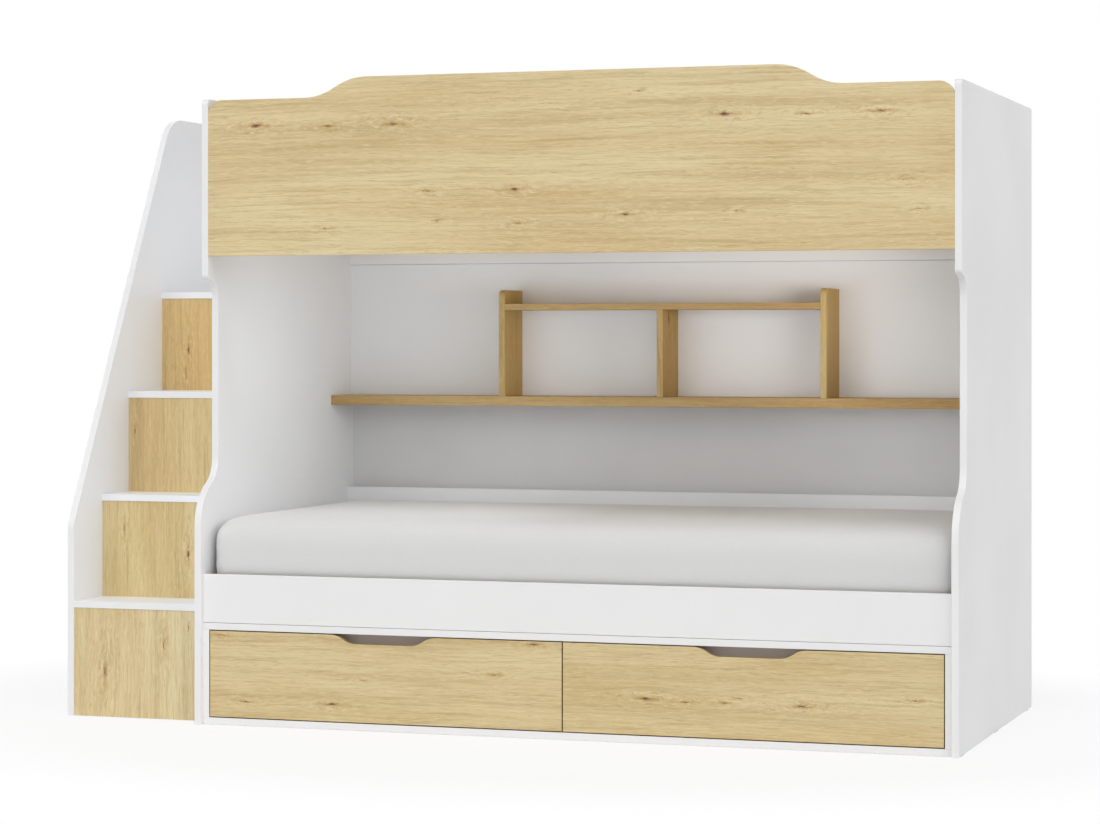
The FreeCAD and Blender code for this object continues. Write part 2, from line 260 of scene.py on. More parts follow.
class Weave(SharedEffect):
    """Threads that pass over and under each other, on a thread pitch of one unit."""

    name = "weave"
    inputs = {"Vector": VECTOR}
    outputs = {"Height": FLOAT, "Tone": FLOAT}

    def fill(self) -> None:
        """Builds the threads from two crossed sine waves and slubs from noise."""
        x, y, z = self.split(self.given["Vector"])
        warp, weft = (self.math("SINE", self.times(way, math.tau)) for way in (x, self.math("ADD", y, z)))
        slubs = self.noise(self.given["Vector"], (0.08, 0.5, 0.5), detail=3.0)
        self.give(Height=self.span(self.times(warp, weft), -1.0, 1.0), Tone=slubs)


class OakKnot(SharedEffect):
    """One knot in oak: the grain bends and swirls round it, and tails trail from its dark heart.

    The results of the knots before it come in, and go out with this knot's added.
    """

    name = "oak_knot"
    inputs = dict.fromkeys(("Along", "Across", "Knot Along", "Knot Across", "Size", "Heart Share",
                            "Bend In", "Heart In", "Streak In", "Swirl In"), FLOAT)
    outputs = dict.fromkeys(("Bend", "Heart", "Streak", "Swirl"), FLOAT)

    # Lengths and widths for a knot of size 1, in metres.
    heart_size = (0.008, 0.0034)
    tail_size = (0.032, 0.0032)
    swirl_size = (0.095, 0.022)
    push_size = (0.05, 0.016)
    push_share = -0.6
    ragged_reach = 0.009

    def lump(self, along: Socket, across: Socket, size: tuple[float, float]) -> Socket:
        """Gives a soft bump whose length and width grow with the knot."""
        length, width = (self.times(self.given["Size"], side) for side in size)
        return self.times(self.bell(along, length), self.bell(across, width))

    def fill(self) -> None:
        """Builds the knot from soft bumps along and across the grain, with ragged edges."""
        given = self.given
        grain = (given["Along"], given["Across"])
        along = self.math("SUBTRACT", given["Along"], given["Knot Along"])
        across = self.math("SUBTRACT", given["Across"], given["Knot Across"])
        ragged = self.noise(self.join(*grain, 0.0), (55.0, 150.0, 1.0))
        near = self.math("MULTIPLY_ADD", self.math("SUBTRACT", ragged, 0.5), self.ragged_reach, across)
        broken = self.noise(self.join(*grain, 3.7), (110.0, 520.0, 1.0), detail=1.0)
        gaps = self.span(broken, 0.34, 0.62, 0.4, 1.0)
        heart = self.times(self.lump(along, near, self.heart_size), given["Heart Share"])
        tails = self.times(self.lump(along, near, self.tail_size), gaps)
        swirl = self.lump(along, across, self.swirl_size)
        push = self.times(self.times(self.lump(along, across, self.push_size), across), self.push_share)
        self.give(Bend=self.math("ADD", given["Bend In"], push),
                  Heart=self.math("MAXIMUM", given["Heart In"], heart),
                  Streak=self.math("MAXIMUM", given["Streak In"], tails),
                  Swirl=self.math("MAXIMUM", given["Swirl In"], swirl))


class OakFigure(SharedEffect):
    """The figure of pale oak: warm and pale zones, faint growth lines, streaks, flecks and open pores.

    Its vector lies along the grain, across it and into the board, in metres.
    """

    name = "oak_figure"
    inputs = {"Vector": VECTOR, "Heart": FLOAT, "Streak": FLOAT, "Swirl": FLOAT}
    outputs = {"Colour": COLOUR, "Height": FLOAT, "Roughness": FLOAT}

    rings_in_metre = 85.0
    drift_reach = 0.035
    curl_reach = 0.022
    knot_curl = 1.7
    pale = colour(230, 213, 168)
    body = colour(219, 198, 151)
    warm = colour(213, 186, 134)
    deep = colour(189, 162, 110)
    line = colour(166, 134, 84)
    pore = colour(146, 114, 68)
    amber = colour(184, 128, 58)
    knot = colour(98, 49, 10)

    def warp(self) -> Socket:
        """Bends the grain: a slow drift all over, and small swirls in patches and round the knots.

        Returns:
            The bent place along, across and into the board.
        """
        vector = self.given["Vector"]
        along, across, depth = self.split(vector)
        drift = self.noise(vector, (1.5, 6.0, 3.0))
        patch = self.noise(vector, (2.6, 13.0, 5.0), detail=1.0)
        curl = self.noise(vector, (22.0, 62.0, 20.0), detail=3.0, roughness=0.6)
        knot_share = self.times(self.given["Swirl"], self.knot_curl)
        curl_share = self.math("MAXIMUM", self.span(patch, 0.52, 0.7, 0.18, 0.75), knot_share)
        bend = self.times(self.math("SUBTRACT", curl, 0.5), curl_share)
        bent = self.math("MULTIPLY_ADD", bend, self.curl_reach, across)
        return self.join(along, self.math("MULTIPLY_ADD", drift, self.drift_reach, bent), depth)

    def fill(self) -> None:
        """Builds the figure from noise drawn out along the grain, one layer of colour over another."""
        vector = self.warp()
        swirl, streak, heart = (self.given[name] for name in ("Swirl", "Streak", "Heart"))
        _, across, _ = self.split(vector)
        zones = self.noise(self.given["Vector"], (1.1, 7.0, 3.0), roughness=0.55)
        bands = self.noise(vector, (1.0, 26.0, 8.0))
        streaks = self.noise(vector, (3.2, 110.0, 25.0), detail=4.0, roughness=0.66)
        fibre = self.noise(vector, (12.0, 480.0, 80.0), detail=3.0, roughness=0.65)
        flecks = self.noise(vector, (34.0, 330.0, 90.0), detail=1.0)
        chips = self.noise(vector, (38.0, 170.0, 40.0), roughness=0.6)
        ring = self.math("POWER", self.math("FRACT", self.times(across, self.rings_in_metre)), 2.0)
        pores = self.span(self.noise(vector, (26.0, 800.0, 200.0), detail=1.0), 0.6, 0.74)
        # Each layer's share of the colour, and the colour itself.
        layers = (
            (self.span(zones, 0.34, 0.66), self.warm),
            (self.span(bands, 0.3, 0.7, 0.0, 0.6), self.body),
            (self.span(bands, 0.52, 0.74, 0.0, 0.45), self.deep),
            (self.span(streaks, 0.48, 0.74, 0.0, 0.62), self.deep),
            (self.span(streaks, 0.48, 0.26, 0.0, 0.6), self.pale),
            (self.span(ring, 0.3, 1.0, 0.0, 0.09), self.line),
            (self.span(fibre, 0.48, 0.74, 0.0, 0.62), self.deep),
            (self.span(flecks, 0.54, 0.74, 0.0, 0.55), self.pale),
            (self.times(self.span(chips, 0.5, 0.68, 0.0, 0.75), swirl), self.pale),
            (self.times(self.span(chips, 0.48, 0.3, 0.0, 0.6), swirl), self.deep),
            (self.times(pores, 0.4), self.pore),
            (self.times(streak, 0.9), self.amber),
            (self.span(streak, 0.6, 1.0, 0.0, 0.55), self.knot),
            (self.math("MINIMUM", heart, 1.0), self.knot))
        tone: object = self.pale
        for share, tint in layers:
            tone = self.mix(share, tone, tint)
        height = self.math("SUBTRACT", self.times(fibre, 0.5), pores)
        self.give(Colour=tone, Height=height, Roughness=self.span(fibre, 0.3, 0.7, 0.46, 0.58))


SURFACE_TOOTH = SurfaceTooth()
WEAVE = Weave()
OAK_KNOT = OakKnot()
OAK_FIGURE = OakFigure()


class Grain(Enum):
    """The way that a board's grain runs: the axes along it, across it and into the board."""

    ALONG_BED = "xzy"
    UPRIGHT_FRONT = "zxy"
    UPRIGHT_SIDE = "zyx"


@dataclass(frozen=True)
class Knot:
    """A knot or streak, placed by shares of its board's length, height and depth.

    A heart share of 0 leaves only the streak.
    """

    x_share: float
    z_share: float
    size: float = 1.0
    heart_share: float = 1.0
    y_share: float = 0.0


@dataclass(frozen=True)
class Finish:
    """A surface finish, built as one material and kept for every piece that has it."""

    name: str
    tint: Colour
    roughness: float
    shade: Colour = BLACK

    def dress(self, surface: Surface) -> None:
        """Adds what makes this finish; each kind has its own."""
        raise NotImplementedError

    def material(self) -> bpy.types.Material:
        """Gives the material, and builds it on the first call.

        Returns:
            The material.
        """
        material = bpy.data.materials.get(self.name)
        if material is None:
            material = bpy.data.materials.new(self.name)
            surface = Surface.blank(material)
            surface.set({"Base Color": self.tint, "Roughness": self.roughness})
            self.dress(surface)
        return material


@dataclass(frozen=True)
class PressedBoard(Finish):
    """A laminate, sheet or moulding with a fine pearl and a faint unevenness of tone."""

    pearl: float = 0.02 * MILLIMETRE
    glossier: float = 0.03
    duller: float = 0.05

    def dress(self, surface: Surface) -> None:
        """Adds the pearl, the tone and the change of gloss.

        Args:
            surface: the material's graph.
        """
        tooth = SURFACE_TOOTH.put_in(surface, {"Vector": surface.spot})
        ends = (self.roughness - self.glossier, self.roughness + self.duller)
        surface.set({"Base Color": surface.mix(tooth["Tone"], self.tint, self.shade),
                     "Roughness": surface.span(tooth["Tone"], 0.0, 1.0, *ends)})
        surface.bump(tooth["Height"], self.pearl)


@dataclass(frozen=True)
class OakBoard(Finish):
    """Oak-grain laminate on one board, with the way its grain runs and the knots that it shows."""

    tint: Colour = colour(213, 194, 147)
    roughness: float = 0.5
    node: str = ""
    grain: Grain = Grain.ALONG_BED
    knots: tuple[Knot, ...] = ()
    shift: float = 0.0
    # Multiplies the whole figure: a change of tone, and on the shelf unit and the stair risers painted
    # shade and painted light.
    painted_shade_and_tone: Colour = PLAIN
    # Multiplies the cut edges on top of that: painted shade that darkens the drawer fronts' edges, and on
    # the shelf uprights takes back part of the faces' painted shade.
    edge_painted_shade: Colour = PLAIN
    edge_skin: float = 0.4 * MILLIMETRE
    depth_slant: float = 0.7
    pore_depth: float = 0.04 * MILLIMETRE

    def edge_mask(self, graph: Graph, depth: Socket) -> Socket:
        """Marks a board's cut edges, all round between its two faces.

        Args:
            graph: the material's graph.
            depth: the place into the board, in metres.

        Returns:
            A mask that is 1 on the edges and 0 on the faces.
        """
        front, back = (getattr(corner, self.grain.value[2]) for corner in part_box(self.node))
        from_front = graph.span(depth, front + self.edge_skin, front + 2 * self.edge_skin)
        from_back = graph.span(depth, back - self.edge_skin, back - 2 * self.edge_skin)
        return graph.times(from_front, from_back)

    def knot_place(self, knot: Knot) -> tuple[float, float]:
        """Gives where a knot lies along and across the grain.

        Args:
            knot: the knot.

        Returns:
            Its places along and across the grain, in metres.
        """
        low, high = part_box(self.node)
        shares = (knot.x_share, knot.y_share, knot.z_share)
        point = Vector(start + (end - start) * share for start, end, share in zip(low, high, shares))
        along, across, depth = (getattr(point, axis) for axis in self.grain.value)
        return along, across + depth * self.depth_slant

    def dress(self, surface: Surface) -> None:
        """Adds the figure, bent round the knots, with its pores pressed in.

        Args:
            surface: the material's graph.
        """
        axes = dict(zip("xyz", surface.split(surface.spot)))
        along, across, depth = (axes[axis] for axis in self.grain.value)
        across = surface.math("MULTIPLY_ADD", depth, self.depth_slant, across)
        sums: dict[str, object] = dict.fromkeys(OAK_KNOT.outputs, 0.0)
        for knot in self.knots:
            knot_along, knot_across = self.knot_place(knot)
            own = {"Along": along, "Across": across, "Knot Along": knot_along, "Knot Across": knot_across,
                   "Size": knot.size, "Heart Share": knot.heart_share}
            sums = OAK_KNOT.put_in(surface, own | {f"{name} In": value for name, value in sums.items()})
        bent = surface.math("ADD", across, sums.pop("Bend"))
        flat = (surface.math("ADD", way, self.shift) for way in (along, bent))
        figure = OAK_FIGURE.put_in(surface, {"Vector": surface.join(*flat, depth), **sums})
        # Painted shade and tone over the whole board, then painted shade on its cut edges.
        tone = surface.mix(1.0, figure["Colour"], self.painted_shade_and_tone, "MULTIPLY")
        tone = surface.mix(self.edge_mask(surface, depth), tone, self.edge_painted_shade, "MULTIPLY")
        surface.set({"Base Color": tone, "Roughness": figure["Roughness"]})
        surface.bump(figure["Height"], self.pore_depth)

    def lay(self) -> None:
        """Gives the finish to its own board."""
        paint(self, self.node)


@dataclass(frozen=True)
class Timber(Finish):
    """Planed softwood with straight grain, light between its darker growth lines."""

    grain_scale: Triple = (60.0, 2.0, 60.0)
    fineness: float = 8.0
    relief: float = 0.05 * MILLIMETRE

    def dress(self, surface: Surface) -> None:
        """Adds growth lines and fibres that run along the grain.

        Args:
            surface: the material's graph.
        """
        lines = surface.noise(surface.spot, self.grain_scale, detail=3.0, roughness=0.6)
        fibre = surface.noise(surface.spot, tuple(self.fineness * scale for scale in self.grain_scale))
        tone = surface.mix(surface.span(lines, 0.42, 0.66), self.tint, self.shade)
        tone = surface.mix(surface.span(fibre, 0.4, 0.8, 0.0, 0.3), tone, self.shade)
        surface.set({"Base Color": tone})
        surface.bump(fibre, self.relief)


@dataclass(frozen=True)
class Cloth(Finish):
    """Woven cloth, with a soft sheen and slubs in its threads."""

    pitch: float = 1.6 * MILLIMETRE
    relief: float = 0.12 * MILLIMETRE
    sheen: float = 0.25
    sheen_spread: float = 0.5

    def dress(self, surface: Surface) -> None:
        """Adds the weave and the sheen.

        Args:
            surface: the material's graph.
        """
        threads = 1 / self.pitch
        weave = WEAVE.put_in(surface, {"Vector": surface.stretch(surface.spot, (threads,) * 3)})
        tone = surface.mix(surface.span(weave["Tone"], 0.3, 0.75), self.tint, self.shade)
        surface.set({"Base Color": tone, "Sheen Weight": self.sheen, "Sheen Roughness": self.sheen_spread})
        surface.bump(weave["Height"], self.relief)


@dataclass(frozen=True)
class PlatedSteel(Finish):
    """Zinc-plated steel, rolled along its length, with a faint spangle."""

    gloss_change: float = 0.07
    relief: float = 0.01 * MILLIMETRE

    def dress(self, surface: Surface) -> None:
        """Adds the spangle and the lines of rolling.

        Args:
            surface: the material's graph.
        """
        spangle = surface.noise(surface.spot, (140.0, 60.0, 140.0))
        rolled = surface.noise(surface.spot, (1800.0, 12.0, 1800.0))
        ends = (self.roughness - self.gloss_change, self.roughness + self.gloss_change)
        surface.set({"Base Color": surface.mix(surface.span(spangle, 0.35, 0.65), self.tint, self.shade),
                     "Roughness": surface.span(rolled, 0.3, 0.7, *ends), "Metallic": 1.0})
        surface.bump(rolled, self.relief)


WHITE = PressedBoard("white_laminate", colour(241, 241, 242), 0.42, colour(239, 239, 240))
# Grey-white for the back sheets and drawer bottoms: partly the sheets' own colour, partly painted shade
# that greys the lower back sheet under the long shelf.
HARDBOARD = PressedBoard("grey_white_sheet", colour(222, 221, 221), 0.5, colour(217, 216, 216))
# Warm off-white for the stretchers seen through the drawer grips: its warm cast is painted, standing in for
# light bounced off the oak.
RAW_BOARD = PressedBoard("raw_board", colour(244, 230, 216), 0.7, colour(238, 223, 209))
GLIDE = PressedBoard("glide_plastic", colour(206, 206, 204), 0.4, colour(198, 198, 196))
SLAT_WOOD = Timber("slat_wood", colour(228, 203, 160), 0.6, colour(203, 169, 119))
BEARER_WOOD = Timber("bearer_wood", colour(226, 200, 157), 0.6, colour(200, 166, 117), (2.0, 60.0, 60.0))
WEBBING = Cloth("strap_webbing", colour(230, 227, 219), 0.8, colour(208, 204, 194),
                pitch=1.4 * MILLIMETRE, relief=0.2 * MILLIMETRE)
TICKING = Cloth("mattress_ticking", colour(224, 224, 224), 0.85, colour(222, 222, 222))
ZINC = PlatedSteel("zinc_plated_steel", colour(196, 198, 200), 0.32, colour(180, 183, 187))


def paint(finish: Finish, *nodes: str) -> None:
    """Gives CAD nodes their finish.

    Args:
        finish: the finish for all of each node.
        *nodes: the nodes' names.
    """
    for node in nodes:
        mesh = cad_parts[node].data
        mesh.materials.clear()
        mesh.materials.append(finish.material())


@dataclass
class BedFrame:
    """The end panels, guards, rails, backs, slats and glides."""

    white_nodes: tuple[str, ...] = ("left_end_panel", "right_end_panel", "rear_guard_board",
                                    "upper_back_panel", "lower_front_rail", "lower_back_rail")
    guard_knots: tuple[Knot, ...] = (
        Knot(0.069, 0.737, 1.3), Knot(0.172, 0.726, 0.9, 0.6), Knot(0.263, 0.728, 1.3, 0.5),
        Knot(0.431, 0.352, 1.0), Knot(0.311, 0.350, 0.9, 0.2), Knot(0.325, 0.189, 0.6, 0.5),
        Knot(0.434, 0.165, 0.8, 0.3), Knot(0.167, 0.148, 0.6, 0.3), Knot(0.709, 0.740, 1.3),
        Knot(0.814, 0.731, 0.8, 0.5), Knot(0.907, 0.738, 1.3, 0.5), Knot(0.597, 0.878, 0.5, 0.8),
        Knot(0.937, 0.374, 0.9, 0.1), Knot(0.579, 0.206, 1.1, 0.8), Knot(0.724, 0.218, 0.5, 0.5),
        Knot(0.955, 0.214, 0.6, 0.4))

    def dress(self) -> None:
        """Gives the frame's nodes their finishes."""
        paint(WHITE, *self.white_nodes)
        # The lower back sheet's grey is partly painted shade.
        paint(HARDBOARD, "lower_back_panel")
        OakBoard("guard_oak", node="guard_board", knots=self.guard_knots).lay()
        paint(SLAT_WOOD, "upper_slats", "lower_slats")
        paint(BEARER_WOOD, "upper_slat_bearers", "lower_slat_bearers")
        paint(GLIDE, "floor_glides")


@dataclass
class ShelfUnit:
    """The long oak shelf and the unit on it."""

    level_nodes: tuple[str, ...] = ("long_shelf", "top_shelf")
    upright_nodes: tuple[str, ...] = ("shelf_left_upright", "shelf_divider", "shelf_right_upright")
    upright_knots: tuple[tuple[Knot, ...], ...] = ((), (Knot(1.0, 0.9, 1.5, y_share=0.38),), ())
    shift_step: float = 0.37
    # Painted shade: the shelves' and uprights' oak is darkened and deepened to stand in for the shade under
    # the upper bed; the uprights' faces get more of it than their edges.
    painted_shade_and_tone: Colour = (0.69, 0.575, 0.42, 1.0)
    upright_painted_shade: Colour = (0.74, 0.585, 0.285, 1.0)
    upright_edge_painted_shade: Colour = (0.95, 1.06, 1.56, 1.0)

    def dress(self) -> None:
        """Gives the shelves grain along the bed and the uprights grain that stands."""
        for index, node in enumerate(self.level_nodes, start=1):
            # Both kinds of board carry the painted shade set above.
            OakBoard(f"{node}_oak", node=node, shift=index * self.shift_step, painted_shade_and_tone=self.painted_shade_and_tone).lay()
        for index, (node, knots) in enumerate(zip(self.upright_nodes, self.upright_knots), start=1):
            OakBoard(f"{node}_oak", node=node, grain=Grain.UPRIGHT_SIDE, knots=knots,
                     shift=index * self.shift_step, painted_shade_and_tone=self.upright_painted_shade,
                     edge_painted_shade=self.upright_edge_painted_shade).lay()


@dataclass
class DrawerChest:
    """The chest under the lower bed, with its drawers."""

    white_nodes: tuple[str, ...] = ("chest_base", "chest_top", "chest_left_side", "chest_right_side",
                                    "chest_divider")
    box_boards: tuple[str, ...] = ("left_side", "right_side", "back")
    runners: tuple[str, ...] = ("chest_runners", "middle_runners", "box_runners")
    drawers: tuple[str, ...] = ("left_drawer", "right_drawer")
    front_shifts: tuple[float, ...] = (0.9, 1.7)
    front_knots: tuple[tuple[Knot, ...], ...] = (
        (Knot(0.354, 0.199, 1.0), Knot(0.104, 0.190, 0.8, 0.4), Knot(0.925, 0.965, 0.9),
         Knot(0.440, 0.490, 0.5, 0.2), Knot(0.033, 0.950, 0.9, 0.1), Knot(0.808, 0.609, 0.9, 0.1)),
        (Knot(0.225, 0.406, 1.2), Knot(0.436, 0.393, 0.8, 0.5), Knot(0.473, 0.449, 0.6, 0.6),
         Knot(0.637, 0.385, 1.3, 0.5), Knot(0.329, 0.384, 0.9, 0.1), Knot(0.927, 0.496, 0.7, 0.1)))
    front_stain: Colour = (0.95, 0.95, 0.93, 1.0)
    # Painted shade: the fronts' cut edges are darkened to dark brown so that the gaps round the drawers
    # look deep and shaded.
    front_edge_painted_shade: Colour = (0.4, 0.31, 0.2, 1.0)

    def dress(self) -> None:
        """Gives the chest and both drawers their finishes."""
        paint(WHITE, *self.white_nodes)
        # The stretchers' warm cast is painted bounce light.
        paint(RAW_BOARD, "chest_stretchers")
        for drawer, shift, knots in zip(self.drawers, self.front_shifts, self.front_knots):
            front = f"{drawer}_front"
            # The fronts' edges carry the painted shade set above.
            OakBoard(f"{front}_oak", node=front, knots=knots, shift=shift, painted_shade_and_tone=self.front_stain,
                     edge_painted_shade=self.front_edge_painted_shade).lay()
            paint(WHITE, *(f"{drawer}_{board}" for board in self.box_boards))
            paint(HARDBOARD, f"{drawer}_bottom")
            paint(ZINC, *(f"{drawer}_{runner}" for runner in self.runners))


@dataclass
class Stairs:
    """The closed stairs at the left end."""

    shift_step: float = 0.53
    # Painted light and shade per riser: the lowest riser is lightened and cooled, the higher ones darkened
    # and warmed, as lit and shaded copies of one oak.
    riser_painted_light_and_shade: tuple[Colour, ...] = ((1.04, 1.07, 1.12, 1.0), (0.92, 0.885, 0.79, 1.0),
                                        (0.93, 0.87, 0.77, 1.0), (0.97, 0.89, 0.74, 1.0))
    riser_knots: tuple[tuple[Knot, ...], ...] = (
        (Knot(0.235, 0.403, 1.3, 0.4), Knot(0.682, 0.687, 1.0, 0.1), Knot(0.865, 0.852, 0.5, 0.4)),
        (Knot(0.667, 0.453, 1.0, 0.8), Knot(0.172, 0.700, 0.8, 0.1)),
        (Knot(0.051, 0.649, 0.6, 0.9),),
        (Knot(0.214, 0.442, 1.0, 0.9), Knot(0.193, 0.166, 0.8, 0.1)))

    def dress(self) -> None:
        """Gives the treads, risers, side and back their finishes."""
        paint(WHITE, "stair_side_panel")
        paint(HARDBOARD, "stair_back_panel")
        paint(BEARER_WOOD, "stair_cleats")
        for number, (painted_shade_and_tone, knots) in enumerate(zip(self.riser_painted_light_and_shade, self.riser_knots), start=1):
            node = f"stair_riser_{number}"
            paint(WHITE, f"stair_tread_{number}")
            # Each riser's oak carries its own painted light and shade.
            OakBoard(f"{node}_oak", node=node, grain=Grain.UPRIGHT_FRONT, knots=knots,
                     shift=number * self.shift_step, painted_shade_and_tone=painted_shade_and_tone).lay()


def add_object(name: str, data: bpy.types.ID) -> bpy.types.Object:
    """Puts a mesh, a light or a camera into the scene, at the origin.

    Args:
        name: the object's name.
        data: its mesh, light or camera.

    Returns:
        The new object.
    """
    made = bpy.data.objects.new(name, data)
    bpy.context.scene.collection.objects.link(made)
    return made


def new_piece(name: str, form: Form) -> bpy.types.Object:
    """Turns a form into an object of the scene, and frees the form.

    Args:
        name: the object's name.
        form: the form, in its place.

    Returns:
        The new object.
    """
    mesh = bpy.data.meshes.new(name)
    form.to_mesh(mesh)
    form.free()
    return add_object(name, mesh)


def finish_piece(piece: bpy.types.Object, finish: Finish, body: str = FRAME_BODY) -> None:
    """Gives a new piece its finish and the body that carries it.

    Args:
        piece: the new object, at the origin.
        finish: its finish.
        body: the CAD body that it rides on.
    """
    piece.data.materials.append(finish.material())
    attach(piece, body)
    log.info("%s: %d faces on %s", piece.name, len(piece.data.polygons), body)


class Facing(Enum):
    """The way that the head of a fitting points."""

    BACK = (0.0, 1.0, 0.0)
    LEFT = (-1.0, 0.0, 0.0)
    RIGHT = (1.0, 0.0, 0.0)
    DOWN = (0.0, 0.0, -1.0)

    def spots(self, xs: Iterable[float], ys: Iterable[float], zs: Iterable[float]) -> list[Matrix]:
        """Gives the transforms that stand heads on places, pointing this way.

        Args:
            xs: the places along the bed, in metres.
            ys: the places across the bed.
            zs: the heights.

        Returns:
            One transform where each of them meets the others, for a head at the origin that points up.
        """
        turn = Vector((0.0, 0.0, 1.0)).rotation_difference(Vector(self.value)).to_matrix().to_4x4()
        return [Matrix.Translation(place) @ turn for place in itertools.product(xs, ys, zs)]


def new_points(made: dict) -> list[bmesh.types.BMVert]:
    """Picks the vertices out of what an extrusion made."""
    return [item for item in made["geom"] if isinstance(item, bmesh.types.BMVert)]


def move(form: Form, points: Iterable[bmesh.types.BMVert], height: float) -> None:
    """Moves points of a form up by a height, or down by a negative one."""
    bmesh.ops.translate(form, verts=list(points), vec=(0.0, 0.0, height))


def round_edges(form: Form, edges: list[bmesh.types.BMEdge], width: float, segments: int) -> None:
    """Rounds edges of a form over a width."""
    bmesh.ops.bevel(form, geom=edges, offset=width, offset_type="OFFSET", segments=segments, profile=0.5,
                    affect="EDGES", material=-1)


@dataclass(frozen=True)
class Fitting:
    """A small fitting, modelled once and copied to each of its places."""

    kind: str
    finish: Finish
    slot: str

    def shape(self, form: Form) -> None:
        """Models one fitting on the origin, its head pointing up; each kind has its own."""
        raise NotImplementedError

    def fix(self, label: str, spots: Iterable[Matrix], body: str = FRAME_BODY) -> None:
        """Puts copies of the fitting into the scene as one piece.

        Args:
            label: what the piece is fixed to.
            spots: one transform for each copy.
            body: the CAD body that it rides on.
        """
        one = bpy.data.meshes.new(self.kind)
        form = bmesh.new()
        self.shape(form)
        bmesh.ops.recalc_face_normals(form, faces=form.faces)
        form.to_mesh(one)
        form.clear()
        for spot in spots:
            count = len(form.verts)
            form.from_mesh(one)
            form.verts.ensure_lookup_table()
            bmesh.ops.transform(form, matrix=spot, verts=form.verts[count:])
        bpy.data.meshes.remove(one)
        finish_piece(new_piece(f"{label}_{self.kind}", form), self.finish, body)


@dataclass(frozen=True)
class CrossHead(Fitting):
    """A round steel head with a cross recess, as on a cam connector or a screw."""

    radius: float = 7.5 * MILLIMETRE
    proud: float = 1.0 * MILLIMETRE
    sunk: float = 0.5 * MILLIMETRE
    recess: float = 0.8 * MILLIMETRE
    cells: int = 5
    grid_share: float = 0.62
    arm_cells: float = 1.5
    rim_share: float = 0.4

    def shape(self, form: Form) -> None:
        """Rounds a grid into a disc, sinks a cross in it and gives it a bevelled rim.

        Args:
            form: the empty form.
        """
        half = self.radius * self.grid_share
        cell = 2 * half / self.cells
        bmesh.ops.create_grid(form, x_segments=self.cells, y_segments=self.cells, size=half)
        for vertex in form.verts:
            if vertex.is_boundary:
                vertex.co = vertex.co.normalized() * self.radius
        move(form, form.verts, self.proud)
        rim = [edge for edge in form.edges if edge.is_boundary]
        move(form, new_points(bmesh.ops.extrude_edge_only(form, edges=rim)), -self.proud - self.sunk)
        bmesh.ops.edgeloop_fill(form, edges=[edge for edge in form.edges if edge.is_boundary])
        cross = []
        for face in form.faces:
            middle = face.calc_center_median()
            near, far = sorted(abs(value) for value in middle.xy)
            if near < cell / 2 and far < self.arm_cells * cell and middle.z > self.proud / 2:
                cross.append(face)
        move(form, new_points(bmesh.ops.extrude_face_region(form, geom=cross)), -self.recess)
        round_edges(form, rim, self.proud * self.rim_share, 2)


@dataclass(frozen=True)
class PinHead(Fitting):
    """The low domed head of a panel pin."""

    radius: float = 2.6 * MILLIMETRE
    proud: float = 0.9 * MILLIMETRE
    sunk: float = 0.4 * MILLIMETRE
    dome_reach: float = 0.55
    dome_height: float = 0.88
    edge_height: float = 0.3
    steps: int = 10

    def shape(self, form: Form) -> None:
        """Spins the profile of the head.

        Args:
            form: the empty form.
        """
        profile = ((0.0, self.proud), (self.dome_reach * self.radius, self.dome_height * self.proud),
                   (self.radius, self.edge_height * self.proud), (self.radius, -self.sunk),
                   (0.0, -self.sunk))
        points = [form.verts.new((reach, 0.0, height)) for reach, height in profile]
        edges = [form.edges.new(pair) for pair in zip(points, points[1:])]
        bmesh.ops.spin(form, geom=points + edges, cent=(0.0, 0.0, 0.0), axis=(0.0, 0.0, 1.0),
                       dvec=(0.0, 0.0, 0.0), angle=math.tau, steps=self.steps, use_merge=True,
                       use_duplicate=False)
        bmesh.ops.remove_doubles(form, verts=form.verts, dist=SAME_POINT)


@dataclass(frozen=True)
class Staple(Fitting):
    """A wire staple, its legs driven into the wood."""

    crown: float = 12.0 * MILLIMETRE
    wire: float = 1.3 * MILLIMETRE
    thickness: float = 0.8 * MILLIMETRE
    leg: float = 6.0 * MILLIMETRE
    stand_off: float = 1.2 * MILLIMETRE
    shoulder_share: float = 0.8
    slack: float = 0.05 * MILLIMETRE

    def shape(self, form: Form) -> None:
        """Bends a flat wire: a crown with rounded shoulders and two legs.

        Args:
            form: the empty form.
        """
        half = self.crown / 2
        bmesh.ops.create_grid(form, x_segments=3, y_segments=1, size=0.5)
        bmesh.ops.scale(form, verts=form.verts, vec=(self.crown, self.wire, 1.0))
        for vertex in form.verts:
            if abs(vertex.co.x) < half / 2:
                vertex.co.x = math.copysign(half - self.thickness, vertex.co.x)
        sheet = list(form.faces)
        move(form, new_points(bmesh.ops.extrude_face_region(form, geom=sheet)), self.thickness)
        ends = [face for face in sheet if abs(face.calc_center_median().x) > half / 2]
        move(form, new_points(bmesh.ops.extrude_face_region(form, geom=ends)), -self.leg)
        shoulders = []
        for edge in form.edges:
            middle = (edge.verts[0].co + edge.verts[1].co) / 2
            if middle.z > self.thickness - self.slack and abs(middle.x) > half - self.slack:
                shoulders.append(edge)
        round_edges(form, shoulders, self.thickness * self.shoulder_share, 3)
        move(form, form.verts, self.stand_off)


CAM = CrossHead("cams", ZINC, STEEL_SLOT)
SCREW = CrossHead("screws", ZINC, STEEL_SLOT, 4.0 * MILLIMETRE, 1.2 * MILLIMETRE, recess=0.9 * MILLIMETRE)
PIN = PinHead("pins", ZINC, STEEL_SLOT)
STAPLE = Staple("staples", ZINC, STEEL_SLOT)


